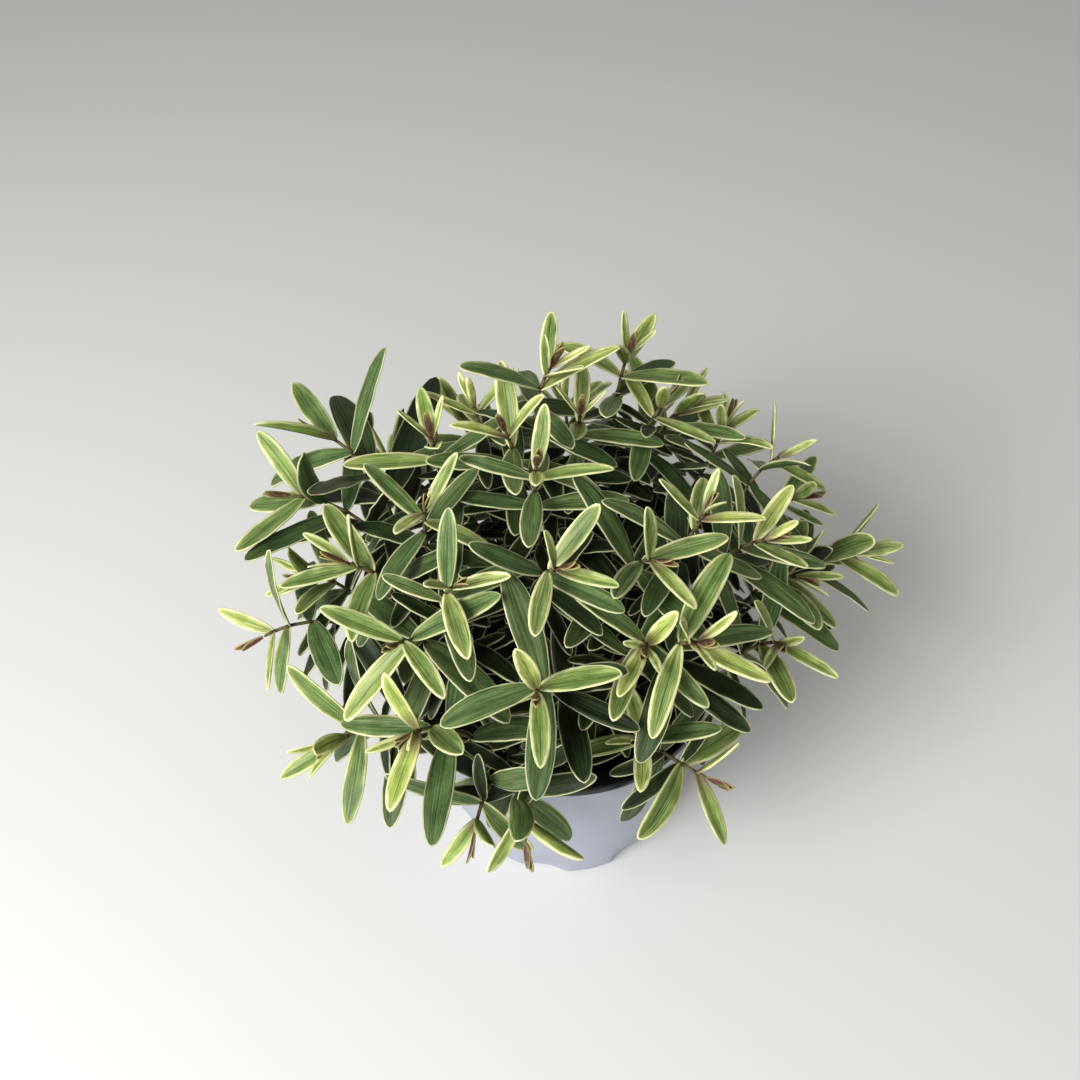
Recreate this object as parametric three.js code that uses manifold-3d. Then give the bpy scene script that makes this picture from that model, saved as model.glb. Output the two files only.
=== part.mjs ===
// Potted color king hebe: a small variegated shrub in a thermoformed nursery pot.
// Millimetres, +Z up. The origin is the middle of the pot's base, on the surface it stands on.
// +X is right and -Y is toward the camera in the reference photograph.
import * as THREE from 'three';
import { mergeVertices } from 'three/addons/utils/BufferGeometryUtils.js';
import Module from 'manifold-3d';

const wasm = await Module();
wasm.setup();

// The pot: a tapered shell with a flat flange, a rolled lip and a fluted foot.
const rimRadius = 65;
const potHeight = 98;
const flangeWidth = 7;
const lipDrop = 4.6;
const potWall = 1.2;
const footRadius = 54;
const footBevel = 3;
const wallTopRadius = rimRadius - flangeWidth;
const fluteCount = 8;
const fluteTurn = 33.75;
const fluteDepth = 2.8;
const fluteTop = 13;
const potSides = 32;
const drainRadius = 3.5;
const drainRing = 33;
const drainCount = 6;
const holeSides = 6;

// The soil: a plug that fills the pot to 15 mm below the rim, with a blind hole for each stem.
const clearance = 0.3;
const footSlack = 2;
const soilShoulder = 1;
const soilTop = 83;
const soilCrown = 3;
const soilBrim = 4;
const holeDepth = 22;
const holeRoom = 0.4;

// The stems.
const trunkRadius = 1.8;
const branchRadius = 0.95;
const youngStem = 0.8;
const stemSides = 5;
const curveSamples = 40;
const samplesPerRod = 8;
const ringStep = 20;
const forkRoom = 7;
const collarHeight = 1.1;
const forkShare = 0.32;
const forkAboveRim = 9;
const forkPull = 0.3;
const tipPull = 0.4;
const trunkRise = 4;
const limbOverlap = 0.04;
const limbTaper = 0.95;

// The leaves: flat blades in crossed pairs, youngest pair first.
const bladeThickness = 0.8;
const bladeSeats = [0, 4, 10, 18, 27, 37, 48, 60, 73];
const bladeLengths = [16, 25, 32, 36, 37, 36, 34, 33, 32];
const bladeOpenings = [28, 50, 66, 78, 86, 94, 100, 100, 98];
const widestOpening = 104;
const bladeSlenderness = 0.275;
const youngSlenderness = 0.24;
const bladeStations = [0.34, 0.4, 0.26];
const bladeNarrowing = 0.9;
const tipNarrowing = 0.8;
const youngPairs = 2;
const oldBend = 6;
const budLength = 9;

// How far leaves turn their faces to the light, how much that varies, and from what lean on.
const lightPull = 0.8;
const lightSpread = 0.2;
const lightReach = 0.6;

// How far the draws spread a leaf's turn, opening and bend in degrees, and its size as a share.
const seed = 20417;
const turnSpread = 7;
const openSpread = 7;
const youngBendSpread = 4;
const bendSpread = 8;
const sizeSpread = 0.08;

// Room kept when leaves are placed: round blades and stems, then round the pot, floor and soil.
const sideRoom = 0.25;
const faceRoom = 0.9;
const potRoom = 2;
const floorRoom = 3;
const wallRoom = 3;
const soilRoom = 1;

const finishes = {
  pot: { color: 0xa9abb8, roughness: 0.55 },
  soil: { color: 0x1d1916, roughness: 0.95 },
  foliage: { color: 0x5d7d45, roughness: 0.5 },
};

// A closed solid from a three.js geometry.
function solid(geometry) {
  const bare = geometry.index ? geometry.clone() : geometry;
  bare.deleteAttribute('normal');
  bare.deleteAttribute('uv');
  const merged = mergeVertices(bare, 1e-4);
  const mesh = new wasm.Mesh({
    numProp: 3,
    vertProperties: new Float32Array(merged.attributes.position.array),
    triVerts: new Uint32Array(merged.index.array),
  });
  return new wasm.Manifold(mesh);
}

// A three.js geometry from a closed solid.
function geometryOf(manifold) {
  const mesh = manifold.getMesh();
  const geometry = new THREE.BufferGeometry();
  geometry.setAttribute('position', new THREE.BufferAttribute(mesh.vertProperties, 3));
  geometry.setIndex(new THREE.BufferAttribute(mesh.triVerts, 1));
  geometry.computeVertexNormals();
  return geometry;
}

// How far the pot's side is pressed in at an angle and a height, for the flutes of its foot.
function fluteInset(angle, height) {
  const across = Math.max(0, Math.cos(fluteCount * (angle - radians(fluteTurn))));
  const down = Math.max(0, 1 - height / fluteTop);
  return fluteDepth * across * Math.min(1, 2 * down);
}

// A revolved solid whose side is pressed in by the flutes.
function flutedLathe(profile) {
  const geometry = new THREE.LatheGeometry(profile, potSides);
  geometry.rotateX(Math.PI / 2);
  const position = geometry.attributes.position;
  for (let i = 0; i < position.count; i += 1) {
    const x = position.getX(i);
    const y = position.getY(i);
    const radius = Math.hypot(x, y);
    if (radius > drainRing + 2 * drainRadius) {
      const inset = fluteInset(Math.atan2(y, x), position.getZ(i));
      position.setX(i, x * (1 - inset / radius));
      position.setY(i, y * (1 - inset / radius));
    }
  }
  return geometry;
}

function upright(radius, bottom, top, sides) {
  const geometry = new THREE.CylinderGeometry(radius, radius, top - bottom, sides);
  geometry.rotateX(Math.PI / 2);
  geometry.translate(0, 0, (top + bottom) / 2);
  return geometry;
}

// The pot's outer radius at a height below the flange.
function outerRadius(height) {
  return footRadius + (wallTopRadius + potWall - footRadius) * (height / potHeight);
}

function potSolid() {
  const under = potHeight - potWall;
  const profile = [
    [0, 0],
    [footRadius - footBevel, 0],
    [footRadius, footBevel],
    [outerRadius(fluteTop / 2), fluteTop / 2],
    [outerRadius(fluteTop), fluteTop],
    [outerRadius(under), under],
    [rimRadius - potWall, under],
    [rimRadius - potWall, potHeight - lipDrop],
    [rimRadius, potHeight - lipDrop],
    [rimRadius, potHeight],
    [wallTopRadius, potHeight],
    [outerRadius(fluteTop) - potWall, fluteTop],
    [outerRadius(fluteTop / 2) - potWall, fluteTop / 2],
    [footRadius - footBevel, potWall],
    [0, potWall],
  ].map(([radius, height]) => new THREE.Vector2(radius, height));
  let shell = solid(flutedLathe(profile));
  for (let i = 0; i < drainCount; i += 1) {
    const angle = (i * 2 * Math.PI) / drainCount;
    const drain = upright(drainRadius, -potWall, 2 * potWall, holeSides);
    drain.translate(drainRing * Math.cos(angle), drainRing * Math.sin(angle), 0);
    shell = shell.subtract(solid(drain));
  }
  return shell;
}

function soilSolid() {
  const gap = potWall + clearance;
  const topRadius = outerRadius(soilTop) - gap;
  const profile = [
    [0, gap],
    [footRadius - footBevel - soilShoulder - footSlack, gap],
    [outerRadius(fluteTop / 2) - gap - footSlack, fluteTop / 2],
    [outerRadius(fluteTop) - gap - footSlack / 2, fluteTop],
    [topRadius, soilTop - soilShoulder],
    [topRadius - soilBrim, soilTop],
    [topRadius / 2, soilTop + soilCrown / 2],
    [0, soilTop + soilCrown],
  ].map(([radius, height]) => new THREE.Vector2(radius, height));
  let plug = solid(flutedLathe(profile));
  for (const stem of stems) {
    const [x, y] = stem.root;
    const hole = upright(trunkRadius + holeRoom, soilTop - holeDepth, potHeight, holeSides);
    hole.translate(x, y, 0);
    plug = plug.subtract(solid(hole));
  }
  return plug;
}

// Each stem: where its root stands in the soil, and its shoots.
// A shoot: its tip, the bearing and lean of its tip in degrees, the turn of its youngest pair,
// how wide its leaves open, how large they are, its youngest open pair and its oldest one.
const stems = [
  { root: [-3, -4], shoots: [
    [-11, 6, 209, -75, 20, 70, 1.0, 0.9, 1, 9],
    [-3, -37, 202, -45, 45, 110, 0.85, 0.95, 1, 9],
  ] },
  { root: [-20, -18], shoots: [
    [-40, -38, 194, -45, 40, 150, 0.85, 0.95, 1, 9],
    [-61, -49, 176, -110, 50, 160, 1.2, 1.15, 1, 9],
  ] },
  { root: [4, -25], shoots: [
    [-12, -71, 176, -90, 50, 100, 0.85, 1.15, 1, 9],
    [27, -50, 173, -105, 60, 60, 1.0, 0.95, 0, 9],
  ] },
  { root: [30, -20], shoots: [
    [44, -55, 182, -45, 50, 120, 1.2, 1.15, 0, 9],
    [83, -25, 140, -95, 50, 140, 1.0, 1.15, 0, 9],
  ] },
  { root: [12, -10], shoots: [
    [32, -24, 190, -50, 55, 90, 0.85, 1.05, 1, 9],
    [50, -8, 198, 15, 20, 70, 1.2, 0.95, 0, 9],
  ] },
  { root: [-26, -2], shoots: [
    [-52, -4, 198, -60, 20, 30, 1.0, 0.95, 1, 9],
    [-83, -11, 176, -173, 55, 95, 1.0, 1.15, 0, 9],
  ] },
  { root: [-14, -38], shoots: [
    [-36, -88, 110, -98, 105, 60, 1.1, 1.15, 1, 9],
    [-17, -88, 100, -80, 130, 135, 0.85, 1.0, 2, 9],
    [-58, -67, 145, -120, 60, 120, 1.0, 1.15, 0, 9],
  ] },
  { root: [-34, -26], shoots: [
    [-90, -56, 122, -135, 80, 60, 0.85, 1.15, 0, 9],
  ] },
  { root: [-44, 4], shoots: [
    [-122, -15, 136, -150, 100, 0, 1.2, 1.15, 1, 7],
    [-106, 11, 142, -160, 70, 70, 0.85, 1.1, 0, 7],
  ] },
  { root: [-37, 22], shoots: [
    [-113, 36, 165, -165, 70, 150, 0.9, 1.4, 1, 7],
    [-99, 52, 185, 170, 65, 30, 0.9, 1.5, 1, 7],
  ] },
  { root: [-12, 13], shoots: [
    [-53, 43, 190, 120, 15, 70, 1.1, 1.1, 0, 9],
    [-23, 35, 200, -150, 20, 70, 0.85, 1.05, 1, 9],
  ] },
  { root: [4, 9], shoots: [
    [-5, 55, 215, 15, 30, 0, 1.1, 1.05, 0, 9],
    [7, 53, 192, -15, 5, 10, 1.2, 1.05, 0, 9],
  ] },
  { root: [15, 23], shoots: [
    [28, 82, 200, 30, 20, 120, 1.1, 1.1, 0, 6],
    [43, 66, 188, 30, 40, 120, 1.1, 0.9, 1, 6],
  ] },
  { root: [30, 30], shoots: [
    [54, 79, 172, 15, 60, 105, 0.85, 1.15, 0, 6],
    [72, 76, 165, 60, 45, 60, 0.85, 0.9, 0, 6],
  ] },
  { root: [42, 14], shoots: [
    [94, 60, 160, 30, 90, 40, 1.1, 1.05, 0, 7],
    [104, 50, 145, -15, 65, 90, 0.85, 0.9, 1, 7],
  ] },
  { root: [24, 3], shoots: [
    [76, -4, 178, -10, 65, 15, 0.9, 1.1, 0, 9],
  ] },
  { root: [44, -5], shoots: [
    [128, 31, 130, 0, 85, 120, 0.6, 0.95, 0, 7],
    [97, 13, 135, -30, 80, 80, 0.85, 1.15, 0, 7],
  ] },
  { root: [22, -40], shoots: [
    [53, -69, 114, -40, 70, 75, 1.15, 1.2, 1, 9],
    [27, -59, 125, -125, 40, 120, 0.85, 1.0, 0, 3],
  ] },
  { root: [8, 38], shoots: [
    [2, 100, 158, 95, 60, 30, 1.0, 1.1, 0, 6],
    [42, 103, 140, 70, 75, 70, 1.0, 1.05, 0, 6],
  ] },
  { root: [-17, 35], shoots: [
    [-37, 68, 185, 120, 35, 170, 1.1, 0.95, 0, 6],
    [-42, 96, 150, 115, 70, 60, 1.0, 1.1, 0, 6],
    [-80, 84, 138, 135, 80, 20, 1.0, 1.05, 0, 6],
    [-30, 84, 120, 110, 90, 150, 0.9, 0.95, 0, 4],
  ] },
].map(({ root, shoots }) => ({ root, shoots: shoots.map(shootFrom) }));

function shootFrom([x, y, z, bearing, lean, turn, spread, size, youngest, oldest]) {
  return { tip: vector(x, y, z), bearing, lean, turn, spread, size, youngest, oldest };
}

// A repeatable draw between -1 and 1 for a shoot, a leaf and a purpose.
function draw(shoot, leaf, purpose) {
  let bits = (shoot * 7919 + leaf * 613 + purpose * 97 + seed) >>> 0;
  bits = Math.imul(bits ^ (bits >>> 15), 2246822519) >>> 0;
  bits = Math.imul(bits ^ (bits >>> 13), 3266489917) >>> 0;
  bits = (bits ^ (bits >>> 16)) >>> 0;
  return bits / 2147483648 - 1;
}

function vector(x, y, z) {
  return new THREE.Vector3(x, y, z);
}

// a * p + b * q for two vectors.
function blend(a, p, b, q) {
  return p.clone().multiplyScalar(a).addScaledVector(q, b);
}

function radians(degrees) {
  return (degrees * Math.PI) / 180;
}

// The direction at a bearing round the pot and a lean from the vertical.
function direction(bearing, lean) {
  const flat = Math.sin(radians(lean));
  return vector(
    flat * Math.cos(radians(bearing)),
    flat * Math.sin(radians(bearing)),
    Math.cos(radians(lean)),
  );
}

// The mouth of a stem's hole, and the point above it where the stem forks.
function trunkPoints(stem) {
  const mouth = vector(stem.root[0], stem.root[1], soilTop + soilCrown);
  const middle = vector(0, 0, 0);
  stem.shoots.forEach((shoot) => middle.addScaledVector(shoot.tip, 1 / stem.shoots.length));
  const fork = blend(1 - forkShare, mouth, forkShare, middle);
  fork.z = Math.max(fork.z, potHeight + forkAboveRim);
  return [mouth, vector(mouth.x, mouth.y, mouth.z + trunkRise), fork];
}

// A shoot's curve leaves the fork along the trunk and reaches its tip along its lean.
function shootCurve(stem, shoot) {
  const [, bend, fork] = trunkPoints(stem);
  const rise = fork.clone().sub(bend).normalize();
  const reach = fork.distanceTo(shoot.tip);
  const aim = direction(shoot.bearing, shoot.lean);
  return new THREE.CubicBezierCurve3(
    fork,
    fork.clone().addScaledVector(rise, forkPull * reach),
    shoot.tip.clone().addScaledVector(aim, -tipPull * reach),
    shoot.tip,
  );
}

// The point and the direction of growth at a distance back from a curve's tip.
function seatOn(points, distance) {
  let left = distance;
  let i = points.length - 1;
  while (i > 1 && left > points[i].distanceTo(points[i - 1])) {
    left -= points[i].distanceTo(points[i - 1]);
    i -= 1;
  }
  const axis = points[i].clone().sub(points[i - 1]).normalize();
  return { point: points[i].clone().addScaledVector(axis, -left), axis };
}

// A stem's seats from its tip back to its fork. Each one has a frame that doesn't twist on the way.
function seatsOf(shoot, points) {
  let reach = 0;
  for (let i = 1; i < points.length; i += 1) {
    reach += points[i].distanceTo(points[i - 1]);
  }
  const distances = bladeSeats.map((seat) => seat * shoot.size);
  while (distances[distances.length - 1] < reach - ringStep) {
    distances.push(distances[distances.length - 1] + ringStep);
  }
  const aim = direction(shoot.bearing, shoot.lean);
  let down = vector(-Math.sin(radians(shoot.bearing)), Math.cos(radians(shoot.bearing)), 0).cross(aim);
  return distances
    .filter((distance) => distance < reach - forkRoom)
    .concat(reach + branchRadius)
    .map((distance) => {
      const { point, axis } = seatOn(points, distance);
      down = down.clone().addScaledVector(axis, -down.dot(axis)).normalize();
      return { point, axis, down, level: axis.clone().cross(down), distance };
    });
}

// The direction out from a stem at a turn about it.
function outward(seat, turn) {
  return blend(Math.cos(radians(turn)), seat.down, Math.sin(radians(turn)), seat.level);
}

// A leaf's upper face, turned part of the way from its stem's tip to the light overhead.
function faceToLight(rise, face, share) {
  const sky = vector(0, 0, 1).addScaledVector(rise, -rise.z);
  const pull = share * THREE.MathUtils.clamp(lightReach + face.z, 0, 1);
  return blend(1 - pull, face, pull, sky).normalize();
}

// One blade as three straight stretches that bend away from the light.
function bladeAt(seat, shoot, pair, side, number, trial) {
  const chance = (purpose) => draw(number, 2 * pair + side, purpose);
  const young = pair < youngPairs;
  const way = shoot.turn + 90 * pair + 180 * side;
  const out = outward(seat, way + turnSpread * chance(1) + trial.turn);
  const widest = Math.min(bladeOpenings[pair] * shoot.spread, widestOpening);
  const open = radians(widest + openSpread * chance(2) + trial.open);
  const length = bladeLengths[pair] * shoot.size * (1 + sizeSpread * chance(3)) * trial.size;
  const bend = young ? youngBendSpread * chance(4) : oldBend + bendSpread * chance(4);
  const slenderness = pair < 1 ? youngSlenderness : bladeSlenderness;
  const breadth = length * slenderness * (1 + sizeSpread * chance(5));
  const rise = blend(Math.cos(open), seat.axis, Math.sin(open), out);
  const inward = blend(Math.sin(open), seat.axis, -Math.cos(open), out);
  const face = faceToLight(rise, inward, lightPull * (1 + lightSpread * chance(6)));
  const points = [seat.point.clone().addScaledVector(out, branchRadius)];
  const runs = [];
  const faces = [];
  for (let i = 0; i < bladeStations.length; i += 1) {
    const fall = radians(bend * i);
    const run = blend(Math.cos(fall), rise, -Math.sin(fall), face);
    runs.push(run);
    faces.push(blend(Math.cos(fall), face, Math.sin(fall), rise));
    points.push(points[i].clone().addScaledVector(run, length * bladeStations[i]));
  }
  return { points, runs, faces, width: rise.clone().cross(face), breadth };
}

// A box of room: its middle, its three directions, and half its size along each.
function roomBox(from, to, width, run, face, halfWidth, halfDepth) {
  const half = [halfWidth, from.distanceTo(to) / 2 + sideRoom, halfDepth];
  const middle = blend(0.5, from, 0.5, to);
  return { middle, axes: [width, run, face], half, reach: Math.hypot(...half) };
}

function bladeRoom(blade) {
  return blade.runs.map((run, i) => {
    const [from, to] = [blade.points[i], blade.points[i + 1]];
    const halfWidth = (blade.breadth / 2) * (i === 2 ? tipNarrowing : 1) + sideRoom;
    return roomBox(from, to, blade.width, run, blade.faces[i], halfWidth, faceRoom);
  });
}

function rodRoom(from, to, radius) {
  const run = to.clone().sub(from).normalize();
  const guide = Math.abs(run.z) < 0.9 ? vector(0, 0, 1) : vector(1, 0, 0);
  const width = guide.cross(run).normalize();
  const face = width.clone().cross(run);
  return roomBox(from, to, width, run, face, radius + sideRoom, radius + sideRoom);
}

// How far a box reaches from its middle along a direction.
function extent(box, axis) {
  return box.half.reduce((sum, half, i) => sum + half * Math.abs(box.axes[i].dot(axis)), 0);
}

function boxesMeet(a, b) {
  const apart = b.middle.clone().sub(a.middle);
  if (apart.length() > a.reach + b.reach) {
    return false;
  }
  const splits = (axis) => Math.abs(apart.dot(axis)) > extent(a, axis) + extent(b, axis);
  if (a.axes.some(splits) || b.axes.some(splits)) {
    return false;
  }
  return !a.axes.some((p) => b.axes.some((q) => splits(p.clone().cross(q))));
}

// Whether a point keeps clear of the soil and of the pot's rim and side.
function clearOfPot(point) {
  const radius = Math.hypot(point.x, point.y);
  if (point.z > potHeight + potRoom) {
    return true;
  }
  if (radius > rimRadius + potRoom) {
    return point.z > floorRoom;
  }
  return radius < wallTopRadius - wallRoom && point.z > soilTop + soilCrown + soilRoom;
}

function bladeClearOfPot(blade) {
  for (let i = 0; i < blade.runs.length; i += 1) {
    for (const share of [0.33, 0.67, 1]) {
      const point = blade.points[i].clone().lerp(blade.points[i + 1], share);
      for (const edge of [-0.5, 0, 0.5]) {
        if (!clearOfPot(point.clone().addScaledVector(blade.width, edge * blade.breadth))) {
          return false;
        }
      }
    }
  }
  return true;
}

// Small changes to try, the slightest first, until a blade finds room.
function trials() {
  const list = [];
  for (const size of [1, 0.86, 0.72]) {
    for (const open of [0, -10, 10, -20, 20, -30]) {
      for (const turn of [0, -10, 10, -20, 20, -30, 30, -42, 42]) {
        const cost = Math.abs(open) + Math.abs(turn) + Math.round(150 * (1 - size));
        list.push({ size, open, turn, cost });
      }
    }
  }
  return list.sort((a, b) => a.cost - b.cost);
}

// Whether a blade finds room. A stem and its own blades may meet where the blades are rooted.
function fits(blade, boxes, number, owner, rooms) {
  for (const room of rooms) {
    const own = room.number === number;
    const trunk = room.owner === owner && room.number < 0;
    for (let i = own && !room.tip ? 1 : 0; i < boxes.length && !trunk; i += 1) {
      if (boxesMeet(boxes[i], room.box)) {
        return false;
      }
    }
  }
  return bladeClearOfPot(blade);
}

// Every stem with its curve, its seats and the room that it takes.
function growStems(rooms) {
  const grown = [];
  stems.forEach((stem, owner) => {
    const [mouth, bend, fork] = trunkPoints(stem);
    rooms.push({ owner, number: -1, box: rodRoom(mouth, bend, trunkRadius) });
    rooms.push({ owner, number: -1, box: rodRoom(bend, fork, trunkRadius) });
    stem.shoots.forEach((shoot) => {
      const points = shootCurve(stem, shoot).getPoints(curveSamples);
      const number = grown.length;
      for (let i = 0; i < curveSamples; i += samplesPerRod) {
        const box = rodRoom(points[i], points[i + samplesPerRod], branchRadius);
        rooms.push({ owner, number, box });
      }
      grown.push({ owner, shoot, seats: seatsOf(shoot, points), blades: [] });
    });
  });
  return grown;
}

// Places every blade, the youngest pairs first, clear of the pot and of what stands already.
function placeBlades() {
  const rooms = [];
  const grown = growStems(rooms);
  const changes = trials();
  for (let pair = 0; pair < bladeSeats.length; pair += 1) {
    grown.forEach(({ shoot, owner, seats, blades }, number) => {
      if (pair < shoot.youngest || pair >= Math.min(shoot.oldest, seats.length - 1)) {
        return;
      }
      for (const side of [0, 1]) {
        for (const trial of changes) {
          const blade = bladeAt(seats[pair], shoot, pair, side, number, trial);
          const boxes = bladeRoom(blade);
          if (fits(blade, boxes, number, owner, rooms)) {
            blades.push({ ...blade, pair, side });
            boxes.forEach((box, i) => rooms.push({ owner, number, box, tip: i > 0 }));
            break;
          }
        }
      }
    });
  }
  return grown;
}

// A square ring round a stem. Its corners lie between the four ways that leaves can face.
function ringAt(seat, turn, shift, radius) {
  const middle = seat.point.clone().addScaledVector(seat.axis, shift);
  return [45, 135, 225, 315].map((angle) =>
    middle.clone().addScaledVector(outward(seat, turn + angle), radius * Math.SQRT2));
}

// Adds points and faces to a shell under construction.
function addFace(shell, ...corners) {
  for (let i = 2; i < corners.length; i += 1) {
    shell.faces.push([corners[0], corners[i - 1], corners[i]]);
  }
}

// Joins two square rings by four sides, leaving out the sides that carry a blade.
function addSides(shell, lower, upper, open) {
  for (let side = 0; side < 4; side += 1) {
    const last = (side + 3) % 4;
    if (!open.includes(side)) {
      addFace(shell, lower[last], lower[side], upper[side], upper[last]);
    }
  }
}

// Grows a blade from one side of a collar: sections of four corners, then a point.
function addBlade(shell, lower, upper, side, blade) {
  const last = (side + 3) % 4;
  let section = [upper[side], upper[last], lower[last], lower[side]];
  [blade.breadth, blade.breadth * bladeNarrowing].forEach((breadth, i) => {
    const face = blend(1, blade.faces[i], 1, blade.faces[i + 1]).normalize();
    const next = [[-1, 1], [1, 1], [1, -1], [-1, -1]].map(([u, v]) =>
      blade.points[i + 1].clone()
        .addScaledVector(blade.width, (u * breadth) / 2)
        .addScaledVector(face, (v * bladeThickness) / 2));
    for (let j = 0; j < 4; j += 1) {
      const k = (j + 1) % 4;
      const corners = [section[j], section[k], next[k], next[j]];
      addFace(shell, ...(j < 2 ? corners : [...corners.slice(1), corners[0]]));
    }
    section = next;
  });
  for (let j = 0; j < 4; j += 1) {
    addFace(shell, section[j], section[(j + 1) % 4], blade.points[3]);
  }
}

// A closed solid from loose faces that share their corner points.
function shellSolid(shell) {
  const geometry = new THREE.BufferGeometry();
  geometry.setFromPoints(shell.faces.flat());
  return solid(geometry);
}

// A shoot: a square stem from its fork to its tip, a collar for each pair of blades, and a bud.
function shootSolid({ shoot, seats, blades }) {
  const shell = { faces: [] };
  let below = null;
  for (let i = seats.length - 1; i >= 0; i -= 1) {
    const own = blades.filter((blade) => blade.pair === i);
    const radius = branchRadius * (i < bladeSeats.length ? youngStem : 1);
    const collar = own.length ? [-collarHeight / 2, collarHeight / 2] : [0];
    collar.forEach((shift, step) => {
      const ring = ringAt(seats[i], shoot.turn, shift, radius);
      const open = step === 1 ? own.map((blade) => (i + 2 * blade.side) % 4) : [];
      if (below) {
        addSides(shell, below, ring, open);
      } else {
        addFace(shell, ring[3], ring[2], ring[1], ring[0]);
      }
      if (step === 1) {
        own.forEach((blade, n) => addBlade(shell, below, ring, open[n], blade));
      }
      below = ring;
    });
  }
  const point = seats[0].point.clone().addScaledVector(seats[0].axis, budLength);
  for (let side = 0; side < 4; side += 1) {
    addFace(shell, below[(side + 3) % 4], below[side], point);
  }
  return shellSolid(shell);
}

function rodSolid(from, to, radius) {
  const run = to.clone().sub(from);
  const geometry = new THREE.CylinderGeometry(radius, radius, run.length(), stemSides);
  const swing = new THREE.Quaternion().setFromUnitVectors(vector(0, 1, 0), run.clone().normalize());
  geometry.applyQuaternion(swing);
  geometry.translate(...blend(0.5, from, 0.5, to).toArray());
  return solid(geometry);
}

function leafyStemSolid(stem, shoots) {
  const [mouth, bend, fork] = trunkPoints(stem);
  const foot = vector(mouth.x, mouth.y, soilTop - holeDepth + clearance);
  const trunk = rodSolid(foot, bend, trunkRadius);
  const start = blend(1 + limbOverlap, bend, -limbOverlap, fork);
  const limb = rodSolid(start, fork, trunkRadius * limbTaper);
  return shoots.map(shootSolid).reduce((whole, part) => whole.add(part), trunk.add(limb));
}

function addMesh(group, name, manifold, finish) {
  const material = new THREE.MeshStandardMaterial({ ...finish, metalness: 0 });
  const mesh = new THREE.Mesh(geometryOf(manifold), material);
  mesh.name = name;
  group.add(mesh);
}

const plant = new THREE.Group();
addMesh(plant, 'pot', potSolid(), finishes.pot);
addMesh(plant, 'soil', soilSolid(), finishes.soil);
const grown = placeBlades();
stems.forEach((stem, owner) => {
  const shoots = grown.filter((shoot) => shoot.owner === owner);
  const name = `leafy_stem_${String(owner + 1).padStart(2, '0')}`;
  addMesh(plant, name, leafyStemSolid(stem, shoots), finishes.foliage);
});

export default plant;
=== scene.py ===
import heapq
import itertools
import math
import random

import bmesh
import bpy
import numpy as np
from mathutils import Matrix, Vector, noise


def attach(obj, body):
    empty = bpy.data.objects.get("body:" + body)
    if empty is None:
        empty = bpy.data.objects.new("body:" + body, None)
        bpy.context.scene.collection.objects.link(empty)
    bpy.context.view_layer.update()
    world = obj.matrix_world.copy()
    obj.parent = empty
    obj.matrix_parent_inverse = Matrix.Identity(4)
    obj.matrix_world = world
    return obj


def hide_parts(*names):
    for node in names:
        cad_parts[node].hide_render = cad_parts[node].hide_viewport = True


mm = 0.001
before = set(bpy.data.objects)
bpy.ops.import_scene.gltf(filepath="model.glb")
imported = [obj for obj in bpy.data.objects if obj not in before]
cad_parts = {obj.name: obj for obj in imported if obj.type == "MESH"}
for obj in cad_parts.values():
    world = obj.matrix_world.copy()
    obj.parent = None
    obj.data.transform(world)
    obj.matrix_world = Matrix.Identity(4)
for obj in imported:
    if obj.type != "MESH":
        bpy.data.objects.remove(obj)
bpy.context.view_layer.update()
print("frame loaded:", len(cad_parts), "nodes")


# Selecting, finishing and joining

def pick(*pieces):
    bpy.ops.object.select_all(action="DESELECT")
    for piece in pieces:
        piece.select_set(True)
    bpy.context.view_layer.objects.active = pieces[0]


def added(name):
    piece = bpy.context.active_object
    piece.name = name
    return piece


def bakePlace(piece):
    pick(piece)
    bpy.ops.object.transform_apply(location=True, rotation=True, scale=True)


def applyModifier(piece, kind, **settings):
    pick(piece)
    modifier = piece.modifiers.new(kind.title(), kind)
    for name, value in settings.items():
        setattr(modifier, name, value)
    bpy.ops.object.modifier_apply(modifier=modifier.name)


def joined(pieces, name):
    pick(*pieces)
    if len(pieces) > 1:
        bpy.ops.object.join()
    pieces[0].name = name
    pieces[0].data.name = name
    return pieces[0]


def readPoints(mesh):
    flat = np.empty(len(mesh.vertices) * 3)
    mesh.vertices.foreach_get("co", flat)
    return flat.reshape(-1, 3)


def writePoints(mesh, points):
    mesh.vertices.foreach_set("co", np.asarray(points, float).ravel())
    mesh.update()


def writeValues(mesh, name, values):
    layer = mesh.attributes.get(name) or mesh.attributes.new(name, "FLOAT", "POINT")
    layer.data.foreach_set("value", np.asarray(values, float))


# Shader building

class Material:
    def __init__(self, name, **settings):
        self.material = bpy.data.materials.new(name)
        self.material.use_nodes = True
        self.tree = self.material.node_tree
        self.shader = self.tree.nodes["Principled BSDF"]
        for socket, value in settings.items():
            self.shader.inputs[socket.replace("_", " ")].default_value = value

    def node(self, kind, inputs=None, **settings):
        return addNode(self.tree, kind, inputs, **settings)

    def link(self, socket, source):
        self.tree.links.new(source, self.shader.inputs[socket])


def addNode(tree, kind, inputs=None, **settings):
    node = tree.nodes.new(kind)
    for name, value in settings.items():
        setattr(node, name, value)
    for name, value in (inputs or {}).items():
        socket = node.inputs[name]
        if isinstance(value, bpy.types.NodeSocket):
            tree.links.new(value, socket)
        else:
            socket.default_value = value
    return node


def mathNode(tree, operation, a, b=0.0, clamp=False):
    return addNode(tree, "ShaderNodeMath", {0: a, 1: b}, operation=operation, use_clamp=clamp).outputs[0]


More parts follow.
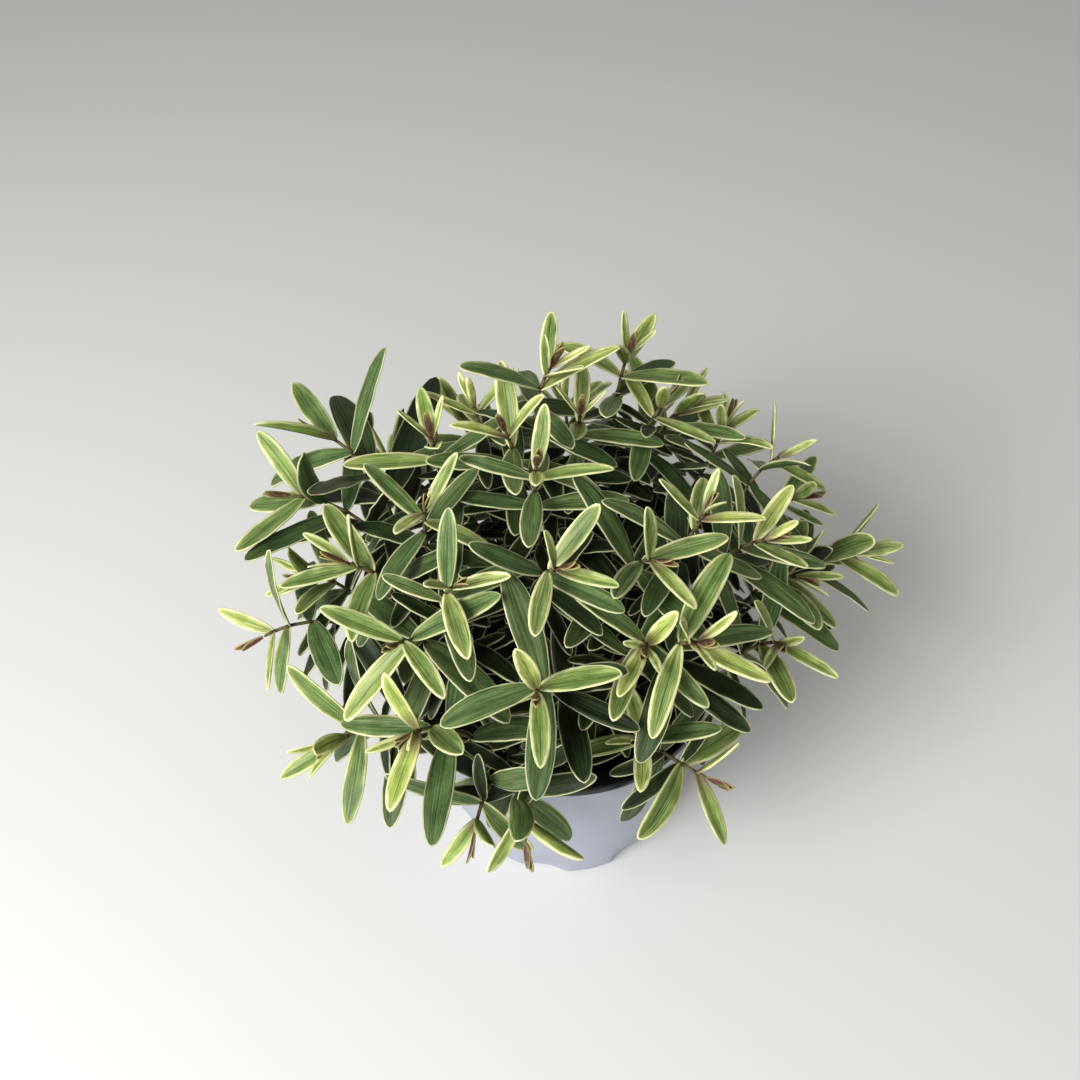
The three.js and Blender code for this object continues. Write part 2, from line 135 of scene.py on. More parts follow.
def ramp(tree, value, low, high, start=0.0, end=1.0):
    inputs = {"Value": value, "From Min": low, "From Max": high, "To Min": start, "To Max": end}
    return addNode(tree, "ShaderNodeMapRange", inputs, interpolation_type="SMOOTHSTEP").outputs[0]


def mixColours(tree, share, first, second):
    node = addNode(tree, "ShaderNodeMix", data_type="RGBA")
    for socket, value in ((0, share), (6, first), (7, second)):
        if isinstance(value, bpy.types.NodeSocket):
            tree.links.new(value, node.inputs[socket])
        else:
            node.inputs[socket].default_value = value
    return node.outputs[2]


def attribute(tree, name):
    return addNode(tree, "ShaderNodeAttribute", attribute_name=name).outputs["Fac"]


def rgb(red, green, blue):
    # From the eye's 0 to 255 scale to the linear scale that shaders use.
    parts = [(part / 255) / 12.92 if part < 11 else ((part / 255 + 0.055) / 1.055) ** 2.4
             for part in (red, green, blue)]
    return (*parts, 1.0)


def startGroup(name, inputs, outputs):
    tree = bpy.data.node_groups.new(name, "ShaderNodeTree")
    for label, kind, value in inputs:
        socket = tree.interface.new_socket(label, in_out="INPUT", socket_type=kind)
        if value is not None:
            socket.default_value = value
    for label, kind in outputs:
        tree.interface.new_socket(label, in_out="OUTPUT", socket_type=kind)
    return tree, tree.nodes.new("NodeGroupInput"), tree.nodes.new("NodeGroupOutput")


def makeVeining():
    # Fine streaks along a leaf, its midrib and how its edge wanders, from the leaf's own map.
    tree, given, put = startGroup(
        "leaf veining",
        [("Streaks", "NodeSocketFloat", 26.0), ("Luck", "NodeSocketFloat", 0.0)],
        [(name, "NodeSocketFloat") for name in ("Streak", "Fleck", "Rib", "Blotch", "Waver", "Along")],
    )
    place = addNode(tree, "ShaderNodeUVMap", uv_map="leafMap").outputs[0]
    split = addNode(tree, "ShaderNodeSeparateXYZ", {0: place})
    across, along = split.outputs[0], split.outputs[1]
    shift = mathNode(tree, "MULTIPLY", given.outputs["Luck"], 37.0)
    side = mathNode(tree, "MULTIPLY", mathNode(tree, "GREATER_THAN", across, 0.5), 9.0)
    streak = leafNoise(tree, mathNode(tree, "MULTIPLY", across, given.outputs["Streaks"]), along, 2.2, shift)
    fleck = leafNoise(tree, mathNode(tree, "MULTIPLY", across, 60.0), along, 30.0, shift)
    blotch = leafNoise(tree, mathNode(tree, "MULTIPLY", across, 3.0), along, 5.0, shift)
    waver = leafNoise(tree, side, along, 2.4, shift)
    off = mathNode(tree, "ABSOLUTE", mathNode(tree, "SUBTRACT", across, 0.5))
    rib = ramp(tree, off, 0.05, 0.008)
    found = {"Streak": streak, "Fleck": fleck, "Rib": rib, "Blotch": blotch, "Waver": waver, "Along": along}
    for label, source in found.items():
        tree.links.new(source, put.inputs[label])
    return tree


def leafNoise(tree, across, along, waves, shift):
    inputs = {0: across, 1: mathNode(tree, "MULTIPLY", along, waves), 2: shift}
    point = addNode(tree, "ShaderNodeCombineXYZ", inputs).outputs[0]
    return addNode(tree, "ShaderNodeTexNoise", {"Vector": point, "Scale": 1.0, "Detail": 2.5}).outputs[0]


def makeSpeckle():
    # Grain at two sizes on object coordinates, for plastic, bark and peat.
    tree, given, put = startGroup(
        "speckle",
        [("Coarse", "NodeSocketFloat", 60.0), ("Fine", "NodeSocketFloat", 900.0),
         ("Blend", "NodeSocketFloat", 0.5)],
        [("Value", "NodeSocketFloat"), ("Coarse Value", "NodeSocketFloat")],
    )
    place = addNode(tree, "ShaderNodeTexCoord").outputs["Object"]
    coarse, fine = (
        addNode(tree, "ShaderNodeTexNoise", {"Vector": place, "Scale": given.outputs[size], "Detail": detail})
        for size, detail in (("Coarse", 3.0), ("Fine", 2.0)))
    shares = {0: given.outputs["Blend"], 2: coarse.outputs[0], 3: fine.outputs[0]}
    both = addNode(tree, "ShaderNodeMix", shares)
    tree.links.new(both.outputs[0], put.inputs["Value"])
    tree.links.new(coarse.outputs[0], put.inputs["Coarse Value"])
    return tree


veining = makeVeining()
speckle = makeSpeckle()


def placeGroup(tree, group, **inputs):
    node = tree.nodes.new("ShaderNodeGroup")
    node.node_tree = group
    for name, value in inputs.items():
        socket = node.inputs[name]
        if isinstance(value, bpy.types.NodeSocket):
            tree.links.new(value, socket)
        else:
            socket.default_value = value
    return node.outputs


# Leaf finishes

leafFinish = {
    "young": (rgb(122, 146, 68), rgb(168, 184, 104)),     # each pair: dark and pale streaks
    "middle": (rgb(73, 97, 53), rgb(122, 142, 92)),
    # old leaves are darker green, and these greens are made darker still as painted shade among the inner
    # leaves
    "old": (rgb(27, 37, 20), rgb(57, 71, 42)),
    "youngBand": rgb(184, 194, 122),                      # the paler green beside the edge
    "oldBand": rgb(94, 110, 74),
    "youngCream": rgb(224, 226, 168),
    "oldCream": rgb(206, 206, 166),
    "brown": rgb(104, 74, 50),
    "purple": rgb(98, 66, 62),
    "youngMargin": 0.85,      # mm, the cream edge
    "oldMargin": 0.32,
}


def byAge(tree, age, streak):
    finish = leafFinish
    young, middle, old = (mixColours(tree, streak, *finish[name]) for name in ("young", "middle", "old"))
    green = mixColours(tree, ramp(tree, age, 0.02, 0.3), young, middle)
    # The oldest greens are partly the real darker green of old leaves and partly painted shade for the inside
    # of the bush.
    return mixColours(tree, ramp(tree, age, 0.3, 0.85), green, old)


def leafTop():
    finish = leafFinish
    made = Material("leafTop", Specular_IOR_Level=0.32)
    tree = made.tree
    age = attribute(tree, "age")
    luck = attribute(tree, "luck")
    veins = placeGroup(tree, veining, Streaks=24.0, Luck=luck)
    fleck = mathNode(tree, "MULTIPLY", mathNode(tree, "SUBTRACT", veins["Fleck"], 0.5), 0.5)
    streak = ramp(tree, mathNode(tree, "ADD", veins["Streak"], fleck), 0.3, 0.7)
    green = byAge(tree, age, streak)
    ribShare = mathNode(tree, "MULTIPLY", veins["Rib"], ramp(tree, age, 0.0, 0.7, 0.5, 0.2))
    green = mixColours(tree, ribShare, green, finish["old"][0])
    rim = attribute(tree, "rim")
    margin = ramp(tree, age, 0.0, 0.5, finish["youngMargin"], finish["oldMargin"])
    margin = mathNode(tree, "MULTIPLY", margin, ramp(tree, veins["Waver"], 0.3, 0.7, 0.55, 1.6))
    # The paler band ends in long streaks that reach in to different depths.
    depth = ramp(tree, veins["Streak"], 0.32, 0.68, 1.0, 4.0)
    inner = mathNode(tree, "MULTIPLY", margin, depth)
    band = mixColours(tree, ramp(tree, age, 0.0, 0.5), finish["youngBand"], finish["oldBand"])
    cream = mixColours(tree, ramp(tree, age, 0.0, 0.5), finish["youngCream"], finish["oldCream"])
    bandShare = mathNode(tree, "MULTIPLY", ramp(tree, mathNode(tree, "DIVIDE", rim, inner), 1.3, 0.6), 0.7)
    colour = mixColours(tree, bandShare, green, band)
    colour = mixColours(tree, ramp(tree, mathNode(tree, "DIVIDE", rim, margin), 1.2, 0.7), colour, cream)
    # Each leaf's own tone, with soft patches of painted sheen.
    colour = tonedWithPaintedSheen(tree, colour, luck, veins["Blotch"])
    made.link("Base Color", spoilt(tree, colour, age, luck, veins["Along"]))
    made.link("Roughness", ramp(tree, veins["Blotch"], 0.2, 0.8, 0.36, 0.5))
    height = mathNode(tree, "SUBTRACT", veins["Streak"], veins["Rib"])
    bump = made.node("ShaderNodeBump", {"Height": height, "Strength": 0.3, "Distance": 0.0002})
    made.link("Normal", bump.outputs[0])
    return made.material


def tonedWithPaintedSheen(tree, colour, luck, blotch):
    # Each leaf has its own depth of green, with soft lighter and darker patches of painted sheen in it.
    patch = ramp(tree, blotch, 0.3, 0.7, -0.14, 0.14)
    value = mathNode(tree, "ADD", ramp(tree, luck, 0.0, 1.0, 0.86, 1.14), patch)
    settings = {"Hue": ramp(tree, luck, 0.0, 1.0, 0.512, 0.49), "Value": value, "Color": colour}
    return addNode(tree, "ShaderNodeHueSaturation", settings).outputs[0]


def spoilt(tree, colour, age, luck, along):
    # A few old leaves have brown tips, and the youngest are purple at the foot.
    finish = leafFinish
    chosen = mathNode(tree, "GREATER_THAN", luck, 0.86)
    brown = mathNode(tree, "MULTIPLY", mathNode(tree, "MULTIPLY", chosen, ramp(tree, age, 0.4, 0.6)), 0.8)
    tipShare = mathNode(tree, "MULTIPLY", brown, ramp(tree, along, 0.93, 0.985))
    colour = mixColours(tree, tipShare, colour, finish["brown"])
    foot = mathNode(tree, "MULTIPLY", ramp(tree, age, 0.16, 0.02), ramp(tree, along, 0.4, 0.05))
    return mixColours(tree, mathNode(tree, "MULTIPLY", foot, 0.75), colour, finish["purple"])


def leafUnder():
    finish = leafFinish
    made = Material("leafUnder", Roughness=0.6, Specular_IOR_Level=0.2)
    tree = made.tree
    age = attribute(tree, "age")
    veins = placeGroup(tree, veining, Streaks=20.0, Luck=attribute(tree, "luck"))
    dull = mixColours(tree, veins["Streak"], rgb(62, 76, 38), rgb(88, 100, 56))
    young = mixColours(tree, veins["Streak"], rgb(126, 140, 76), rgb(150, 160, 96))
    colour = mixColours(tree, ramp(tree, age, 0.0, 0.5), young, dull)
    colour = mixColours(tree, mathNode(tree, "MULTIPLY", veins["Rib"], 0.5), colour, rgb(150, 158, 108))
    edge = ramp(tree, attribute(tree, "rim"), 0.6, 0.4)
    made.link("Base Color", mixColours(tree, edge, colour, finish["oldCream"]))
    height = mathNode(tree, "ADD", veins["Streak"], mathNode(tree, "MULTIPLY", veins["Rib"], 2.0))
    bump = made.node("ShaderNodeBump", {"Height": height, "Strength": 0.3, "Distance": 0.0002})
    made.link("Normal", bump.outputs[0])
    return made.material


def budSkin():
    finish = leafFinish
    made = Material("budSkin", Roughness=0.5, Specular_IOR_Level=0.4)
    tree = made.tree
    veins = placeGroup(tree, veining, Streaks=12.0, Luck=attribute(tree, "luck"))
    patch = ramp(tree, veins["Blotch"], 0.75, 0.5)
    flush = mathNode(tree, "MULTIPLY", patch, ramp(tree, veins["Along"], 1.0, 0.6))
    skin = mixColours(tree, flush, rgb(132, 128, 78), finish["purple"])
    edge = mathNode(tree, "MULTIPLY", ramp(tree, attribute(tree, "rim"), 0.45, 0.2), 0.7)
    made.link("Base Color", mixColours(tree, edge, skin, rgb(190, 176, 122)))
    bump = made.node("ShaderNodeBump", {"Height": veins["Streak"], "Strength": 0.3, "Distance": 0.0002})
    made.link("Normal", bump.outputs[0])
    return made.material


def stemBark():
    made = Material("stemBark", Roughness=0.6, Specular_IOR_Level=0.35)
    tree = made.tree
    grain = placeGroup(tree, speckle, Coarse=260.0, Fine=1500.0, Blend=0.5)
    back = attribute(tree, "back")
    knot = attribute(tree, "knot")
    green = mixColours(tree, grain["Value"], rgb(104, 100, 62), rgb(128, 118, 80))
    wood = mixColours(tree, grain["Value"], rgb(72, 56, 46), rgb(104, 86, 70))
    colour = mixColours(tree, ramp(tree, back, 25.0, 75.0), green, wood)
    tipShare = ramp(tree, back, 16.0, 3.0)
    purple = mathNode(tree, "MAXIMUM", knot, mathNode(tree, "MULTIPLY", tipShare, 0.7))
    made.link("Base Color", mixColours(tree, purple, colour, rgb(66, 44, 42)))
    bump = made.node("ShaderNodeBump", {"Height": grain["Value"], "Strength": 0.35, "Distance": 0.0003})
    made.link("Normal", bump.outputs[0])
    return made.material


# The leaf: modelled once for each age, then laid on every blade of the frame

leafModel = {
    "across": 4,
    "along": 12,
    "baseWidth": 0.16,        # share of the full width at the foot of the leaf
    "tipWidth": 0.05,
    "riseSharpness": 0.6,
    "tipSharpness": 0.57,     # 0.5 rounds the leaf's tip like an ellipse, 1 makes a keen point
    "crowdEnds": 0.75,        # how far the rows are drawn toward both ends
    "ages": {                 # fold and cup are shares of the width, the widest place one of the length
        "young": {"fold": 0.32, "cup": 0.1, "widest": 0.46, "wave": 0.01},
        "open": {"fold": 0.2, "cup": 0.06, "widest": 0.5, "wave": 0.02},
        "old": {"fold": 0.12, "cup": 0.06, "widest": 0.5, "wave": 0.03},
    },
    "thickness": 0.5 * mm,
    "footDepth": 0.5 * mm,    # how far a leaf's foot reaches into its stem
}


def leafWidth(along, widest):
    # The outline: quickly wider from the foot, a long middle and a drawn-out tip.
    model = leafModel
    if along < widest:
        rise = math.sin(0.5 * math.pi * along / widest) ** model["riseSharpness"]
        return model["baseWidth"] + (1 - model["baseWidth"]) * rise
    fall = (along - widest) / (1 - widest)
    return model["tipWidth"] + (1 - model["tipWidth"]) * max(0.0, 1 - fall ** 2) ** model["tipSharpness"]


def modelLeaf(name, shape):
    model = leafModel
    bpy.ops.object.select_all(action="DESELECT")
    bpy.ops.mesh.primitive_grid_add(
        x_subdivisions=model["across"], y_subdivisions=model["along"], size=1, location=(0, 0.5, 0))
    leaf = added("leafModel_" + name)
    bakePlace(leaf)
    uv = leaf.data.uv_layers.active
    uv.name = "leafMap"
    points = readPoints(leaf.data)
    rows = sorted({round(y, 5) for y in points[:, 1]})
    bpy.ops.object.mode_set(mode="EDIT")
    for row in rows:
        shapeRow(leaf, row, shape)
    bpy.ops.object.mode_set(mode="OBJECT")
    mapLeaf(leaf, shape)
    leaf.hide_render = True
    return leaf


def shapeRow(leaf, row, shape):
    # One row across the leaf is drawn in to the outline, folded and moved to its place along.
    sketch = bmesh.from_edit_mesh(leaf.data)
    crowded = (1 - math.cos(math.pi * row)) / 2
    place = row + leafModel["crowdEnds"] * (crowded - row)
    width = leafWidth(place, shape["widest"])
    for vertex in sketch.verts:
        vertex.select_set(abs(vertex.co.y - row) < 1e-4)
    sketch.select_flush(True)
    bmesh.update_edit_mesh(leaf.data)
    bpy.ops.transform.resize(value=(width, 1, 1), center_override=(0, row, 0))
    bpy.ops.transform.translate(value=(0, 2 + place - row, 0))
    sketch = bmesh.from_edit_mesh(leaf.data)
    for vertex in sketch.verts:
        if vertex.select:
            side = abs(vertex.co.x)
            ripple = shape["wave"] * math.sin(19 * place + (2 if vertex.co.x > 0 else 0))
            vertex.co.z = shape["fold"] * side + shape["cup"] * side * side * 2 + ripple * side * 2
    bmesh.update_edit_mesh(leaf.data)


def mapLeaf(leaf, shape):
    # Rows were moved two units out of the way of those not shaped yet.
    points = readPoints(leaf.data)
    points[:, 1] -= 2
    writePoints(leaf.data, points)
    layer = leaf.data.uv_layers["leafMap"].data
    for loop in leaf.data.loops:
        x, y, _ = points[loop.vertex_index]
        layer[loop.index].uv = (0.5 + x / leafWidth(y, shape["widest"]), y)
    widths = np.array([leafWidth(y, shape["widest"]) for y in points[:, 1]])
    writeValues(leaf.data, "halfWidth", widths / 2)


leaves = {name: modelLeaf(name, shape) for name, shape in leafModel["ages"].items()}
print("leaf models:", ", ".join(leaves))


# Reading where the frame's blades, buds and stems are

bladeRule = {
    "thickness": 0.8 * mm,    # the short side of every blade's sections
    "play": 0.06 * mm,
    "budLength": 7 * mm,
}


def mergedSketch(node):
    sketch = bmesh.new()
    sketch.from_mesh(node.data)
    bmesh.ops.remove_doubles(sketch, verts=sketch.verts, dist=0.005 * mm)
    sketch.verts.ensure_lookup_table()
    return sketch


def neighbours(vertices, known):
    return {edge.other_vert(v) for v in vertices for edge in v.link_edges} - known


def middle(vertices):
    return sum((v.co for v in vertices), Vector()) / len(vertices)


def tipRing(vertex):
    # The sides of the four-cornered ring below a point, or none.
    if len(vertex.link_faces) != 4:
        return []
    return sorted(e.calc_length() for f in vertex.link_faces for e in f.edges if vertex not in e.verts)


def isBladeTip(ring):
    if not ring:
        return False
    rule = bladeRule
    return all(abs(side - rule["thickness"]) < rule["play"] for side in ring[:2]) \
        and ring[2] > 3 * rule["thickness"]


def isBudTip(vertex, ring):
    return bool(ring) and ring[3] - ring[0] < 0.1 * mm and \
        min(e.calc_length() for e in vertex.link_edges) > bladeRule["budLength"]


def distances(starts, blocked):
    # How far every stem vertex is from the given ones, along the edges of the stem.
    far = {v: 0.0 for v in starts}
    heap = [(0.0, v.index, v) for v in starts]
    while heap:
        reach, _, vertex = heapq.heappop(heap)
        if reach > far[vertex]:
            continue
        for edge in vertex.link_edges:
            other = edge.other_vert(vertex)
            step = reach + edge.calc_length()
            if other not in blocked and step < far.get(other, 1e9):
                far[other] = step
                heapq.heappush(heap, (step, other.index, other))
    return far


def longSide(section):
    # The unit direction of a section's long side, and its length.
    corners = list(section)
    first = corners[0]
    partner = min(corners[1:], key=lambda v: (v.co - first.co).length)
    others = [v for v in corners if v not in (first, partner)]
    across = middle(others) - middle([first, partner])
    return across.normalized(), across.length


def readStem(node):
    sketch = mergedSketch(node)
    blades = []
    buds = []
    for vertex in sketch.verts:
        ring = tipRing(vertex)
        if isBladeTip(ring):
            second = neighbours([vertex], {vertex})
            first = neighbours(second, {vertex} | second)
            foot = neighbours(first, first | second)
            if len(first) == 4 and len(foot) == 4:
                blades.append({"tip": vertex, "second": second, "first": first, "foot": foot})
        elif isBudTip(vertex, ring):
            buds.append({"tip": vertex, "ring": neighbours([vertex], {vertex})})
    leafy = {v for b in blades for v in {b["tip"]} | b["second"] | b["first"]}
    lowest = min(sketch.verts, key=lambda v: v.co.z)
    fromRoot = distances([lowest], leafy)
    fromBuds = [distances([bud["tip"]], leafy) for bud in buds]
    plan = {"blades": [], "buds": [], "leafy": [v.index for v in leafy | {b["tip"] for b in buds}]}
    plan["shoots"] = [routeToRoot(bud["tip"], fromRoot) for bud in buds]
    for blade in blades:
        plan["blades"].append(readBlade(blade, fromRoot, fromBuds, buds, plan["shoots"]))
    for bud in buds:
        plan["buds"].append(readBud(bud, plan["blades"]))
    plan["back"] = [min(far.get(v, 0.2) for far in fromBuds) / mm for v in sketch.verts]
    plan["sketch"] = sketch
    return plan


def routeToRoot(tip, fromRoot):
    # The way along the stem's edges from a bud down to the root.
    route = [tip]
    while fromRoot[route[-1]] > 0:
        below = [edge.other_vert(route[-1]) for edge in route[-1].link_edges]
        route.append(min((v for v in below if v in fromRoot), key=fromRoot.get))
    places = np.array([v.co for v in route])
    steps = np.linalg.norm(np.diff(places, axis=0), axis=1)
    return {"places": places, "reach": np.concatenate([[0], np.cumsum(steps)]), "last": 0.0}


def readBlade(blade, fromRoot, fromBuds, buds, shoots):
    foot = sorted(blade["foot"], key=lambda v: fromRoot[v])
    rise = middle(foot[2:]) - middle(foot[:2])
    places = [middle(foot), middle(blade["first"]), middle(blade["second"]), blade["tip"].co.copy()]
    across, breadth = longSide(blade["first"])
    if across.cross(places[1] - places[0]).dot(rise) < 0:
        across = -across
    # The bud at the end of the blade's own shoot is the one straight up its stem.
    detours = [far[foot[3]] + fromRoot[foot[3]] - fromRoot[bud["tip"]] for far, bud in zip(fromBuds, buds)]
    own = detours.index(min(detours))
    reach = fromBuds[own][foot[3]]
    shoots[own]["last"] = max(shoots[own]["last"], reach)
    back = max(0.0, reach / mm - 9)
    return {"places": places, "across": across, "breadth": breadth, "rise": rise.normalized(), "back": back}


def readBud(bud, blades):
    base = middle(bud["ring"])
    axis = (bud["tip"].co - base).normalized()
    corners = sorted(bud["ring"], key=lambda v: v.index)
    side = (corners[0].co - base)
    side = (side - axis * side.dot(axis)).normalized()
    side = Matrix.Rotation(math.radians(45), 3, axis) @ side
    near = [b for b in blades if (b["places"][0] - base).length < 3.2 * mm]
    if near and abs(side.dot(near[0]["across"])) < 0.7:
        side = axis.cross(side)
    return {"base": base, "axis": axis, "side": side, "length": (bud["tip"].co - base).length}


# Leaves on their blades

growth = {
    "seed": 41,
    "oldAt": 44.0,            # mm back from the bud where a leaf counts as old
    "ageSpread": 0.12,
    "youngBelow": 0.2,        # age at which a leaf stops being a folded young one
    "oldAbove": 0.62,
    "twist": 14.0,            # degrees from foot to tip, at most
    "sway": 0.03,             # sideways curve as a share of the length
    "slimness": 0.91,         # a leaf's breadth as a share of its blade's
    "budOpening": 5.0,        # degrees
    "budBreadth": 3.0 * mm,
    "budGrowth": 1.25,        # of the length that the frame gives it
    "innerAbove": 22.0,       # mm from a shoot's last pair up to the first inner pair
    "innerBack": 22.0,        # mm back from a shoot's tip, at least
    "innerStep": 7.5,         # mm between inner pairs
    "innerLength": (20.0, 38.0),
    "innerBreadth": 0.25,     # of the length
    "innerOpening": (75.0, 115.0),
    "innerLight": 0.6,        # how far their faces turn to the sky
    "innerSpread": 50.0,      # degrees, at most, that an inner leaf turns from its place in the pair
    "innerTrials": 24,
    "innerRoom": 1.0 * mm,    # that an inner leaf keeps, at least, from the leaves that stand already
    "innerLowest": 89 * mm,   # just above the soil
    "innerWithin": 54 * mm,   # the radius from which a leaf has to pass over the rim
    "innerOver": 100 * mm,
}
chance = random.Random(growth["seed"])


def curveOn(places, along):
    # A smooth curve near a blade's four places, with its direction.
    t = along[:, None]
    a, b, c, d = (np.array(p) for p in places)
    point = a * (1 - t) ** 3 + 3 * b * t * (1 - t) ** 2 + 3 * c * t * t * (1 - t) + d * t ** 3
    slope = 3 * (b - a) * (1 - t) ** 2 + 6 * (c - b) * t * (1 - t) + 3 * (d - c) * t * t
    return point, slope / np.linalg.norm(slope, axis=1)[:, None]


def layLeaf(model, places, across, breadth, age, luck):
    leaf = model.copy()
    leaf.data = model.data.copy()
    leaf.hide_render = False
    bpy.context.collection.objects.link(leaf)
    x, y, z = readPoints(leaf.data).T
    point, run = curveOn(places, y)
    length = sum((places[i + 1] - places[i]).length for i in range(3))
    across = np.array(across)[None, :] - run * (run @ np.array(across))[:, None]
    across /= np.linalg.norm(across, axis=1)[:, None]
    face = np.cross(across, run)
    turn = np.radians(growth["twist"] * chance.uniform(-1, 1)) * y
    wide = across * np.cos(turn)[:, None] + face * np.sin(turn)[:, None]
    deep = np.cross(wide, run)
    sway = growth["sway"] * length * chance.uniform(-1, 1) * np.sin(np.pi * y)
    point = point + across * sway[:, None] + wide * (x * breadth)[:, None] + deep * (z * breadth)[:, None]
    writePoints(leaf.data, point)
    half = np.empty(len(x))
    leaf.data.attributes["halfWidth"].data.foreach_get("value", half)
    rim = np.minimum((half - np.abs(x)) * breadth, (1 - y) * length) / mm
    writeValues(leaf.data, "rim", np.maximum(rim, 0))
    writeValues(leaf.data, "age", np.full(len(x), age))
    writeValues(leaf.data, "luck", np.full(len(x), luck))
    return leaf


def roomCells(points):
    return {tuple(cell) for cell in np.floor(np.asarray(points) / growth["innerRoom"]).astype(int)}


def leafCells(blade):
    # The cells of a coarse grid that a leaf runs through, apart from its foot.
    point, _ = curveOn(blade["places"], np.linspace(0.15, 1.0, 12))
    across = np.array(blade["across"]) * blade["breadth"]
    return roomCells(np.concatenate([point + across * side for side in (-0.42, -0.21, 0, 0.21, 0.42)]))


def widened(cells):
    steps = list(itertools.product((-1, 0, 1), repeat=3))
    return {(x + i, y + j, z + k) for x, y, z in cells for i, j, k in steps}


def stemPoint(shoot, reach):
    return Vector([np.interp(reach, shoot["reach"], shoot["places"][:, axis]) for axis in range(3)])


def innerBlade(foot, rise, out):
    # An old leaf that stands out from a stem and turns its face to the light.
    rule = growth
    length = chance.uniform(*rule["innerLength"]) * mm
    opening = math.radians(chance.uniform(*rule["innerOpening"]))
    run = rise * math.cos(opening) + out * math.sin(opening)
    face = rise * math.sin(opening) - out * math.cos(opening)
    sky = Vector((0, 0, 1)) - run * run.z
    face = face.lerp(sky, rule["innerLight"]).normalized()
    places = [foot]
    for share, droop in zip((0.34, 0.4, 0.26), (0, 0.15, 0.3)):
        places.append(places[-1] + (run * math.cos(droop) - face * math.sin(droop)) * length * share)
    breadth = length * rule["innerBreadth"]
    # Sixty mm back makes an inner leaf fully old, with the darkest greens, which are partly painted shade.
    return {"places": places, "across": run.cross(face).normalized(), "breadth": breadth, "back": 60.0}


def clearOfPot(blade):
    heights = [point.z for point in blade["places"][1:]]
    outside = [point.z for point in blade["places"][1:] if point.xy.length > growth["innerWithin"]]
    return min(heights) > growth["innerLowest"] and min(outside, default=1.0) > growth["innerOver"]


def innerPair(foot, rise, turn, taken):
    # One pair of inner leaves, each one where the leaves that stand already leave room for it.
    pair = []
    for side in (0, 180):
        for _ in range(growth["innerTrials"]):
            way = math.radians(turn + side + chance.uniform(-1, 1) * growth["innerSpread"])
            out = Matrix.Rotation(way, 3, rise) @ rise.orthogonal().normalized()
            blade = innerBlade(foot, rise, out)
            cells = leafCells(blade)
            if clearOfPot(blade) and not cells & taken:
                pair.append(blade)
                taken |= widened(cells)
                break
    return pair


def growInner(plan, taken):
    # Crossed pairs among the old leaves and down the lower stems, to just above the soil.
    rule = growth
    for shoot in plan["shoots"]:
        reach = max(shoot["last"] - rule["innerAbove"] * mm, rule["innerBack"] * mm)
        turn = chance.uniform(0, 180)
        while reach < shoot["reach"][-1] and stemPoint(shoot, reach).z > rule["innerLowest"]:
            rise = (stemPoint(shoot, reach - 4 * mm) - stemPoint(shoot, reach + 4 * mm)).normalized()
            plan["blades"] += innerPair(stemPoint(shoot, reach), rise, turn, taken)
            reach += rule["innerStep"] * mm
            turn += 90


def leafOnBlade(blade):
    rule = growth
    drift = rule["ageSpread"] * chance.uniform(-1, 1)
    age = min(1.0, max(0.0, blade["back"] / rule["oldAt"] + drift))
    kind = "young" if age < rule["youngBelow"] else "old" if age > rule["oldAbove"] else "open"
    places = [p.copy() for p in blade["places"]]
    places[0] -= (places[1] - places[0]).normalized() * leafModel["footDepth"]
    breadth = blade["breadth"] * rule["slimness"]
    return layLeaf(leaves[kind], places, blade["across"], breadth, age, chance.random())


def leavesOfBud(bud):
    made = []
    for way in (1, -1):
        out = bud["side"] * way
        lean = math.radians(growth["budOpening"])
        run = bud["axis"] * math.cos(lean) + out * math.sin(lean)
        length = bud["length"] * growth["budGrowth"] * chance.uniform(0.85, 1.1)
        places = [bud["base"] + out * 0.3 * mm + run * length * share for share in (0, 0.34, 0.74, 1.0)]
        across = out.cross(bud["axis"])
        made.append(layLeaf(leaves["young"], places, across, growth["budBreadth"], 0.0, chance.random()))
    return made


def finishBlades(made, name):
    blades = joined(made, name)
    applyModifier(blades, "SOLIDIFY", thickness=leafModel["thickness"], offset=0.0, use_rim=True,
                  material_offset=1)
    return blades


# Stems

stemForm = {
    "levels": 2,
    "knotReach": 1.3,         # mm from a leaf pair to where the dark ring fades
}


def makeStem(node, plan, name):
    stem = bpy.data.objects.new(name, bpy.data.meshes.new(name))
    bpy.context.collection.objects.link(stem)
    sketch = plan["sketch"]
    back = sketch.verts.layers.float.new("back")
    for vertex, reach in zip(sketch.verts, plan["back"]):
        vertex[back] = reach
    sketch.verts.ensure_lookup_table()
    bmesh.ops.delete(sketch, geom=[sketch.verts[i] for i in plan["leafy"]], context="VERTS")
    sketch.to_mesh(stem.data)
    sketch.free()
    pick(stem)
    bpy.ops.object.mode_set(mode="EDIT")
    bpy.ops.mesh.select_all(action="SELECT")
    bpy.ops.mesh.fill_holes(sides=8)
    bpy.ops.mesh.select_all(action="SELECT")
    bpy.ops.mesh.tris_convert_to_quads(face_threshold=math.radians(70), shape_threshold=math.radians(80))
    bpy.ops.mesh.normals_make_consistent(inside=False)
    bpy.ops.object.mode_set(mode="OBJECT")
    applyModifier(stem, "SUBSURF", levels=stemForm["levels"], render_levels=stemForm["levels"])
    markKnots(stem, plan)
    return stem


def markKnots(stem, plan):
    points = readPoints(stem.data)
    feet = np.array([b["places"][0] for b in plan["blades"]] or [[9, 9, 9]])
    gap = np.min(np.linalg.norm(points[:, None, :] - feet[None, :, :], axis=2), axis=1) / mm
    writeValues(stem.data, "knot", np.clip(1.6 - gap / stemForm["knotReach"], 0, 1))


foliage = {"top": leafTop(), "under": leafUnder(), "bud": budSkin(), "bark": stemBark()}


def wear(piece, *materials):
    piece.data.materials.clear()
    for material in materials:
        piece.data.materials.append(material)


